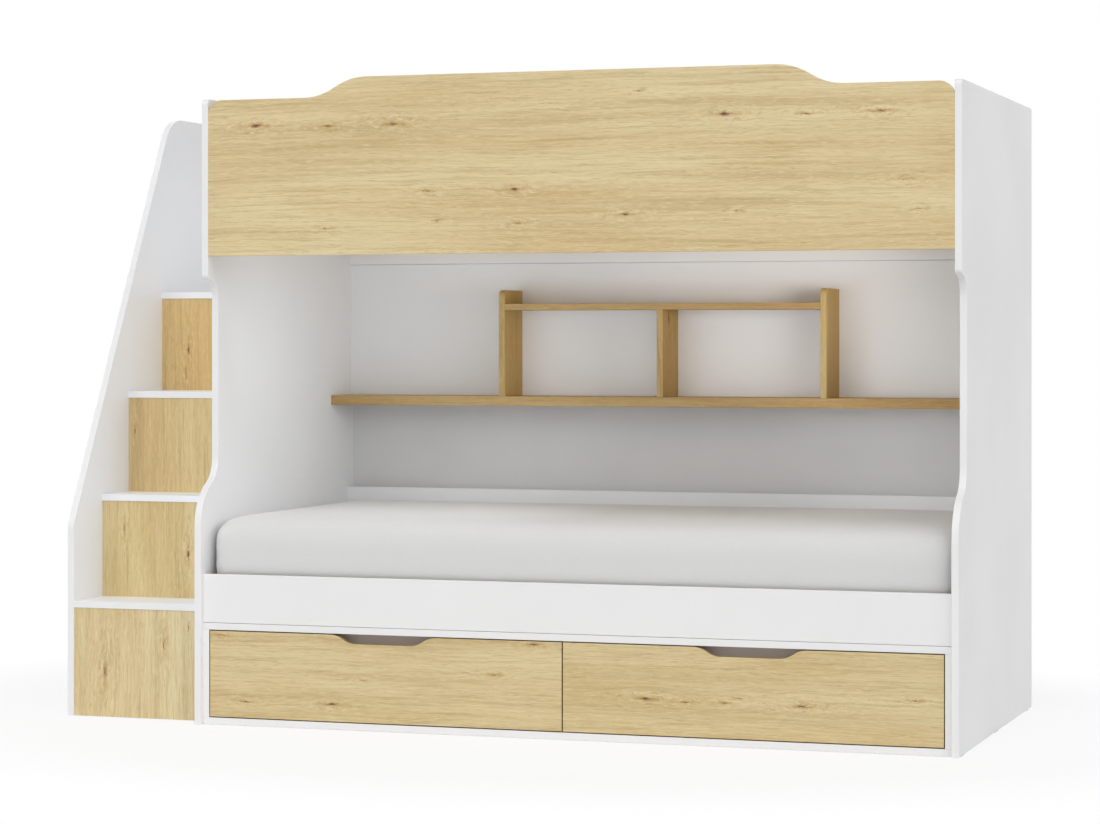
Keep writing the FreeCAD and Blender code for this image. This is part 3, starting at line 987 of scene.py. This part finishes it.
@dataclass
class Fixings:
    """The cam connectors, screws and pins that show from behind, from below and in the open drawers."""

    upright_boards: tuple[str, ...] = ("guard_board", "rear_guard_board", "upper_back_panel")
    end_inset: float = 34.0 * MILLIMETRE
    board_heights: tuple[float, ...] = (0.06, 0.21, 0.36)
    shelf_inset: float = 40.0 * MILLIMETRE
    box_cam_heights: tuple[float, ...] = (0.05, 0.13)
    box_screw_heights: tuple[float, ...] = (0.02, 0.13)
    pin_pitch: float = 0.145
    pin_inset: float = 9.0 * MILLIMETRE

    def join_boards(self) -> None:
        """Puts cams on the backs of the upright boards and under the shelves, near both ends."""
        for node in self.upright_boards:
            low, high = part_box(node)
            heights = [low.z + height for height in self.board_heights]
            CAM.fix(node, Facing.BACK.spots(inset(low.x, high.x, self.end_inset), [high.y], heights))
        for node in ShelfUnit.level_nodes:
            low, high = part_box(node)
            ends = inset(low.x, high.x, self.end_inset)
            CAM.fix(node, Facing.DOWN.spots(ends, inset(low.y, high.y, self.shelf_inset), [low.z]))

    def hold_uprights(self) -> None:
        """Puts screws through the long shelf into the uprights."""
        low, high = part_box("long_shelf")
        middles = [middle_of(node).x for node in ShelfUnit.upright_nodes]
        SCREW.fix("long_shelf", Facing.DOWN.spots(middles, inset(low.y, high.y, self.shelf_inset), [low.z]))

    def join_drawer(self, drawer: str) -> None:
        """Puts cams inside a drawer, where its sides meet the front, and screws into its back.

        Args:
            drawer: the drawer's body.
        """
        cams: list[Matrix] = []
        screws: list[Matrix] = []
        back_y = middle_of(f"{drawer}_back").y
        for side, inward, outward in (("left_side", Facing.RIGHT, Facing.LEFT),
                                      ("right_side", Facing.LEFT, Facing.RIGHT)):
            low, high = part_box(f"{drawer}_{side}")
            inner, outer = (high.x, low.x) if inward is Facing.RIGHT else (low.x, high.x)
            cam_heights = [low.z + height for height in self.box_cam_heights]
            screw_heights = [low.z + height for height in self.box_screw_heights]
            cams += inward.spots([inner], [low.y + self.end_inset], cam_heights)
            screws += outward.spots([outer], [back_y], screw_heights)
        CAM.fix(drawer, cams, drawer)
        SCREW.fix(drawer, screws, drawer)

    def pin_places(self, start: float, end: float) -> list[float]:
        """Gives evenly spaced places from start to end, about one pin pitch apart."""
        return evenly(start, end, max(1, round((end - start) / self.pin_pitch)))

    def pin_sheet(self, node: str, *rails: float) -> None:
        """Puts pins round a back sheet.

        Args:
            node: the sheet.
            *rails: heights of more rows of pins, where the sheet crosses a board.
        """
        low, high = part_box(node)
        sides = inset(low.x, high.x, self.pin_inset)
        ends = inset(low.z, high.z, self.pin_inset)
        rows = Facing.BACK.spots(self.pin_places(*sides), [high.y], (*ends, *rails))
        PIN.fix(node, rows + Facing.BACK.spots(sides, [high.y], self.pin_places(*ends)[1:-1]))

    def build(self) -> None:
        """Makes every group of fixings."""
        self.join_boards()
        self.hold_uprights()
        for drawer in DrawerChest.drawers:
            self.join_drawer(drawer)
        self.pin_sheet("lower_back_panel", middle_of("chest_top").z)
        self.pin_sheet("stair_back_panel")


@dataclass
class SlatStraps:
    """Two webbing straps that keep a bed's slats apart, stapled under each slat."""

    bed: str
    slat_count: int = 14
    slat_width: float = 0.07
    edge_inset: float = 0.075
    width: float = 25.0 * MILLIMETRE
    thickness: float = 1.2 * MILLIMETRE
    sag: float = 3.0 * MILLIMETRE
    segments: int = 160

    def hang(self, form: Form, middles: list[float]) -> None:
        """Lets the straps sag a little between the slats.

        Args:
            form: the flat straps.
            middles: the place of each slat's middle along the bed.
        """
        free = (middles[1] - middles[0] - self.slat_width) / 2
        for vertex in form.verts:
            reach = min(abs(vertex.co.x - middle) for middle in middles) - self.slat_width / 2
            share = min(max(reach / free, 0.0), 1.0)
            vertex.co.z -= self.sag * math.sin(share * math.pi / 2) ** 2

    def build(self) -> None:
        """Makes both straps as one piece, and their staples as another."""
        low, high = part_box(f"{self.bed}_slats")
        lines = inset(low.y, high.y, self.edge_inset)
        middles = evenly(*inset(low.x, high.x, self.slat_width / 2), self.slat_count - 1)
        form = bmesh.new()
        for y in lines:
            strip = bmesh.ops.create_grid(form, x_segments=self.segments, y_segments=2, size=0.5)["verts"]
            bmesh.ops.scale(form, verts=strip, vec=(high.x - low.x, self.width, 1.0))
            bmesh.ops.translate(form, verts=strip, vec=((low.x + high.x) / 2, y, low.z))
        self.hang(form, middles)
        move(form, new_points(bmesh.ops.extrude_face_region(form, geom=list(form.faces))), -self.thickness)
        bmesh.ops.recalc_face_normals(form, faces=form.faces)
        finish_piece(new_piece(f"{self.bed}_slat_straps", form), WEBBING)
        STAPLE.fix(f"{self.bed}_strap", Facing.DOWN.spots(middles, lines, [low.z]))


@dataclass
class Mattress:
    """A foam mattress in a plain cover, swollen by a cloth simulation inside the space of its CAD solid."""

    node: str
    voxel: float = 0.015
    shrink: float = 0.003
    swell_cap: float = 0.003
    seat_depth: float = 0.004
    pressure: float = 2.0
    frames: int = 20
    even_rounds: int = 3
    even_share: float = 0.5
    piece: bpy.types.Object = field(init=False)

    def apply(self) -> None:
        """Puts the result of the cover's modifiers into its mesh."""
        evaluated = self.piece.evaluated_get(bpy.context.evaluated_depsgraph_get())
        mesh = bpy.data.meshes.new_from_object(evaluated)
        self.piece.modifiers.clear()
        self.piece.data = mesh

    def start(self) -> None:
        """Starts the cover as a slightly smaller copy of the solid, with an even mesh."""
        form = bmesh.new()
        form.from_mesh(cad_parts[self.node].data)
        bmesh.ops.remove_doubles(form, verts=form.verts, dist=SAME_POINT)
        low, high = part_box(self.node)
        middle = middle_of(self.node)
        scale = Vector(1 - 2 * self.shrink / length for length in high - low)
        bmesh.ops.translate(form, verts=form.verts, vec=-middle)
        bmesh.ops.scale(form, verts=form.verts, vec=scale)
        bmesh.ops.translate(form, verts=form.verts, vec=middle)
        self.piece = new_piece(f"{self.node}_cover", form)
        even = self.piece.modifiers.new("even_mesh", "REMESH")
        even.mode = "VOXEL"
        even.voxel_size = self.voxel
        self.apply()

    def swell(self) -> None:
        """Blows the cover up a little with a cloth simulation, and caps how far each point moves."""
        scene = bpy.context.scene
        start = [vertex.co.copy() for vertex in self.piece.data.vertices]
        cloth = self.piece.modifiers.new("cover_cloth", "CLOTH")
        cloth.settings.use_pressure = True
        cloth.settings.uniform_pressure_force = self.pressure
        cloth.settings.effector_weights.gravity = 0.0
        cloth.collision_settings.use_collision = False
        cloth.point_cache.frame_start = 1
        cloth.point_cache.frame_end = self.frames
        for number in range(1, self.frames + 1):
            scene.frame_set(number)
        self.apply()
        scene.frame_set(1)
        for vertex, before in zip(self.piece.data.vertices, start):
            way = vertex.co - before
            if way.length > self.swell_cap:
                vertex.co = before + way.normalized() * self.swell_cap

    def soften(self) -> None:
        """Evens out the cover's mesh, and makes it finer."""
        form = bmesh.new()
        form.from_mesh(self.piece.data)
        for _ in range(self.even_rounds):
            bmesh.ops.smooth_vert(form, verts=form.verts, factor=self.even_share, use_axis_x=True,
                                  use_axis_y=True, use_axis_z=True)
        form.to_mesh(self.piece.data)
        form.free()
        smooth = self.piece.modifiers.new("soft_cover", "SUBSURF")
        smooth.levels = smooth.render_levels = 1
        self.apply()

    def fit(self) -> None:
        """Stretches the cover so that it fills the solid's box, and flattens it on its slats."""
        low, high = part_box(self.node)
        middle = middle_of(self.node)
        places = [vertex.co for vertex in self.piece.data.vertices]
        for axis in range(3):
            least = min(place[axis] for place in places)
            most = max(place[axis] for place in places)
            share = (high[axis] - low[axis]) / (most - least)
            for place in places:
                place[axis] = middle[axis] + (place[axis] - (least + most) / 2) * share
        for place in places:
            place.z = low.z if place.z < low.z + self.seat_depth else place.z

    def build(self) -> None:
        """Makes the mattress, dresses it and lets it stand for its solid."""
        self.start()
        self.swell()
        self.soften()
        self.fit()
        self.piece.data.shade_smooth()
        finish_piece(self.piece, TICKING)
        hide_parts(self.node)


def aim(thing: bpy.types.Object, tilt_degrees: float, turn_degrees: float) -> None:
    """Points a camera or a light at the wall, then tilts it up and turns it to the left."""
    thing.rotation_euler = (math.radians(90.0 + tilt_degrees), 0.0, math.radians(turn_degrees))


@dataclass(frozen=True)
class PhotoCamera:
    """The camera that sees the bed as the reference view does."""

    place: Triple = (2.60923, -7.83562, 1.02334)
    turn_degrees: float = 18.439
    focal_pixels: float = 3014.96
    image_width: int = 1100
    image_height: int = 824
    horizon_row: float = 339.49
    sensor: float = 36.0
    far_limit: float = 200.0

    def build(self) -> None:
        """Makes the camera and shows the scene through it."""
        data = bpy.data.cameras.new("photo_camera")
        data.sensor_fit = "HORIZONTAL"
        data.sensor_width = self.sensor
        data.lens = self.sensor * self.focal_pixels / self.image_width
        data.shift_y = -(self.image_height / 2 - self.horizon_row) / self.image_width
        data.clip_end = self.far_limit
        camera = add_object("photo_camera", data)
        camera.location = self.place
        aim(camera, 0.0, self.turn_degrees)
        bpy.context.scene.camera = camera


@dataclass(frozen=True)
class SoftLight:
    """A far, broad light that shines evenly over the whole bed from one side.

    Its bearing is 0 straight in front of the bed and grows towards the bed's right end.
    """

    name: str
    bearing_degrees: float
    height_degrees: float
    spread_degrees: float
    strength: float

    def build(self) -> None:
        """Makes the light."""
        data = bpy.data.lights.new(self.name, "SUN")
        data.energy = self.strength
        data.angle = math.radians(self.spread_degrees)
        aim(add_object(self.name, data), -self.height_degrees, self.bearing_degrees)


@dataclass(frozen=True)
class FillPanel:
    """A soft panel of light that shines into a deep part of the bed.

    It shines towards the wall where its turn is 0, and towards the bed's left end where it is 90.
    """

    name: str
    middle: Triple
    width: float
    height: float
    turn_degrees: float
    tilt_degrees: float
    power: float
    tint: Triple = (0.95, 1.0, 1.07)
    spread_degrees: float = 180.0

    def build(self) -> None:
        """Makes the panel, unseen by the camera."""
        data = bpy.data.lights.new(self.name, "AREA")
        data.shape = "RECTANGLE"
        data.size = self.width
        data.size_y = self.height
        data.energy = self.power
        data.spread = math.radians(self.spread_degrees)
        data.color = self.tint
        light = add_object(self.name, data)
        light.location = self.middle
        aim(light, self.tilt_degrees, self.turn_degrees)
        light.visible_camera = False
        light.visible_glossy = False


@dataclass
class Studio:
    """A plain white floor and soft, even light."""

    floor_size: float = 120.0
    floor_tint: Colour = (0.9, 0.9, 0.9, 1.0)
    floor_glow_share: float = 0.82
    shadow_reach: Triple = (2.4, 1.8, 1.0)
    shadow_fade: float = 0.6
    ambient: float = 0.2
    lights: tuple[SoftLight | FillPanel, ...] = (
        SoftLight("top_light", 0.0, 52.0, 60.0, 1.28),
        SoftLight("front_light", -4.0, 12.0, 50.0, 0.44),
        SoftLight("side_light", 70.0, 30.0, 60.0, 0.92),
        SoftLight("back_light", 215.0, 14.0, 60.0, 0.95),
        FillPanel("bay_light", (0.1, -0.44, 0.97), 1.6, 0.42, 0.0, 24.0, 1.5, (0.9, 1.0, 1.1), 130.0),
        FillPanel("end_light", (0.3, -0.15, 0.95), 0.6, 0.45, 90.0, -4.0, 1.1, (0.9, 1.0, 1.1), 110.0),
        FillPanel("shelf_light", (1.08, -0.12, 1.14), 0.3, 0.16, 54.0, 4.0, 0.48, (1.05, 1.0, 0.95), 80.0),
        FillPanel("corner_light", (0.45, -0.3, 0.86), 0.4, 0.2, -40.0, -6.0, 0.27, (0.97, 1.0, 1.03), 70.0),
        FillPanel("stair_light", (-0.83, -0.05, 1.1), 0.6, 0.6, 90.0, 0.0, 0.62, (0.95, 1.0, 1.05)),
        FillPanel("low_stair_light", (-0.83, -0.3, 0.5), 0.45, 0.4, 90.0, 0.0, 0.4, (0.68, 0.92, 1.28)),
        FillPanel("left_grip_light", (-0.288, -0.524, 0.242), 0.26, 0.012, 0.0, 0.0, 0.017),
        FillPanel("right_grip_light", (0.698, -0.524, 0.242), 0.26, 0.012, 0.0, 0.0, 0.017))

    def seen_plainly(self, graph: Graph) -> Socket:
        """Gives a mask of the rays that see the background: from the camera, mirrors and glass.

        Args:
            graph: the graph that the mask is for.

        Returns:
            A mask that is 1 for these rays.
        """
        rays = graph.node("ShaderNodeLightPath").outputs
        mirror = graph.math("MAXIMUM", rays["Is Glossy Ray"], rays["Is Transmission Ray"])
        return graph.math("MAXIMUM", rays["Is Camera Ray"], mirror)

    def floor(self) -> None:
        """Makes the floor: white to the eye, with the bed's shadow on it."""
        form = bmesh.new()
        bmesh.ops.create_grid(form, x_segments=1, y_segments=1, size=self.floor_size / 2)
        piece = new_piece("floor", form)
        material = bpy.data.materials.new("floor_white")
        piece.data.materials.append(material)
        graph = Graph.blank(material)
        matt = graph.node("ShaderNodeBsdfDiffuse", {"Color": self.floor_tint})
        glow = graph.node("ShaderNodeEmission", {"Color": PLAIN, "Strength": 1.0})
        near = graph.stretch(graph.place(), tuple(1 / reach for reach in self.shadow_reach))
        distance = graph.node("ShaderNodeVectorMath", {0: near}, operation="LENGTH").outputs["Value"]
        brightness = graph.span(distance, self.shadow_fade, 1.0, self.floor_glow_share, 1.0)
        share = graph.times(self.seen_plainly(graph), brightness)
        mixed = graph.node("ShaderNodeMixShader", {0: share, 1: matt.outputs[0], 2: glow.outputs[0]})
        graph.node("ShaderNodeOutputMaterial", {"Surface": mixed.outputs[0]})

    def world(self) -> None:
        """Makes the even light from all round, seen as white."""
        world = bpy.data.worlds.new("studio")
        graph = Graph.blank(world)
        strength = graph.math("MULTIPLY_ADD", self.seen_plainly(graph), 1.0 - self.ambient, self.ambient)
        sky = graph.node("ShaderNodeBackground", {"Color": PLAIN, "Strength": strength})
        graph.node("ShaderNodeOutputWorld", {"Surface": sky.outputs[0]})
        bpy.context.scene.world = world

    def build(self) -> None:
        """Sets up the floor, the light and the plain view transform."""
        bpy.context.scene.view_settings.view_transform = "Standard"
        self.floor()
        self.world()
        for light in self.lights:
            light.build()


def main() -> None:
    """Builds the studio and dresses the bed."""
    logging.basicConfig(level=logging.INFO, format="%(name)s: %(message)s")
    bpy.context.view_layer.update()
    Studio().build()
    PhotoCamera().build()
    for part in (BedFrame(), ShelfUnit(), DrawerChest(), Stairs()):
        part.dress()
        log.info("dressed %s", type(part).__name__)
    Fixings().build()
    for bed in ("lower", "upper"):
        SlatStraps(bed).build()
        Mattress(f"{bed}_mattress").build()


if __name__ == "__main__":
    main()
